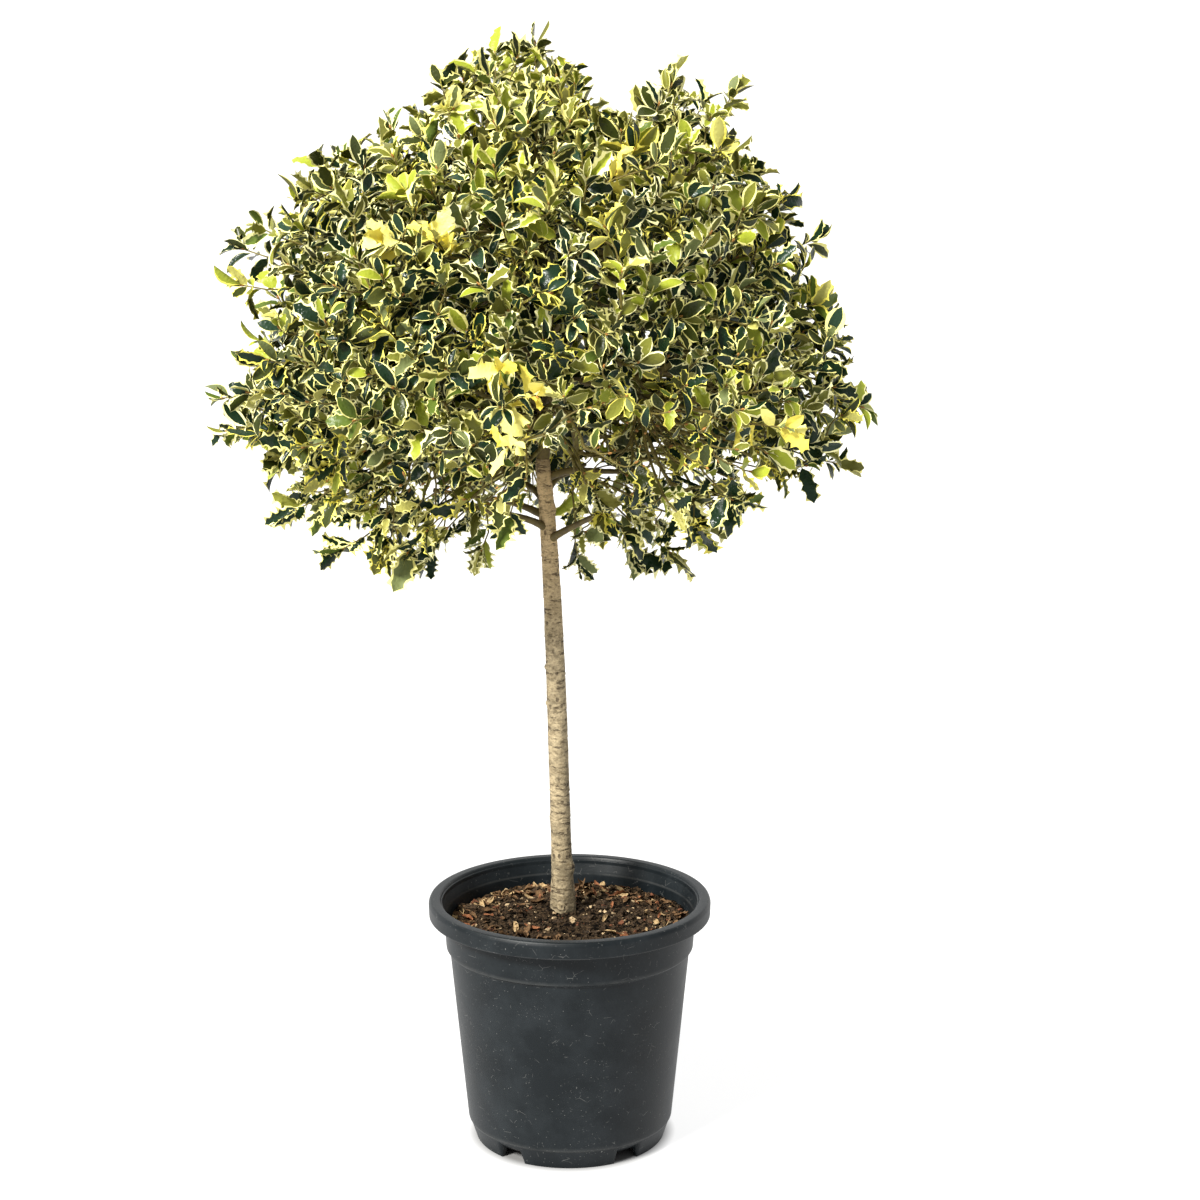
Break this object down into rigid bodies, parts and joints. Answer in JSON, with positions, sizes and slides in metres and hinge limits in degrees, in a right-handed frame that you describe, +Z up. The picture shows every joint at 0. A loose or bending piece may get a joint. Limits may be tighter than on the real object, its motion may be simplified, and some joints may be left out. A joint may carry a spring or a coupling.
{
  "type": "potted variegated holly tree",
  "caption": "Half-standard holly with a clear stem and a broad domed crown of cream-edged evergreen leaves, growing in a round nursery pot of compost.",
  "frame": {"origin": "middle of the pot's flat underside, on the ground it stands on", "axes": "+Z up along the pot's axis; the front of the plant faces -Y, with +X to the right seen from the front"},
  "size_m": [0.9235, 0.8826, 1.565],
  "materials": {
    "pot_plastic": "dark blue-grey moulded plastic with a soft sheen, fine scuffs and a little dust",
    "compost": "crumbly dark brown potting compost with bark chips and dead leaf litter",
    "trunk_bark": "pale grey-buff smooth bark with lenticels, ring scars and small knots",
    "young_bark": "olive-brown young bark, smooth and slightly waxy",
    "foliage": "glossy dark green spiny leaves with creamy yellow margins"
  },
  "bodies": {
    "root": {"bough_belt_1": "young_bark", "bough_belt_2": "young_bark", "bough_belt_3": "young_bark", "bough_belt_4": "young_bark", "bough_belt_5": "young_bark", "bough_belt_6": "young_bark", "bough_belt_7": "young_bark", "bough_belt_8": "young_bark", "bough_crest_1": "young_bark", "bough_shoulder_1": "young_bark", "bough_shoulder_2": "young_bark", "bough_shoulder_3": "young_bark", "bough_shoulder_4": "young_bark", "bough_shoulder_5": "young_bark", "bough_shoulder_6": "young_bark", "bough_skirt_1": "young_bark", "bough_skirt_2": "young_bark", "bough_skirt_3": "young_bark", "bough_skirt_4": "young_bark", "bough_skirt_5": "young_bark", "bough_skirt_6": "young_bark", "compost": "compost", "foliage_belt_1": "foliage", "foliage_belt_2": "foliage", "foliage_belt_3": "foliage", "foliage_belt_4": "foliage", "foliage_belt_5": "foliage", "foliage_belt_6": "foliage", "foliage_belt_7": "foliage", "foliage_belt_8": "foliage", "foliage_crest_1": "foliage", "foliage_shoulder_1": "foliage", "foliage_shoulder_2": "foliage", "foliage_shoulder_3": "foliage", "foliage_shoulder_4": "foliage", "foliage_shoulder_5": "foliage", "foliage_shoulder_6": "foliage", "foliage_skirt_1": "foliage", "foliage_skirt_2": "foliage", "foliage_skirt_3": "foliage", "foliage_skirt_4": "foliage", "foliage_skirt_5": "foliage", "foliage_skirt_6": "foliage", "foliage_top": "foliage", "leader": "young_bark", "pot": "pot_plastic", "trunk": "trunk_bark"}
  },
  "joints": []
}
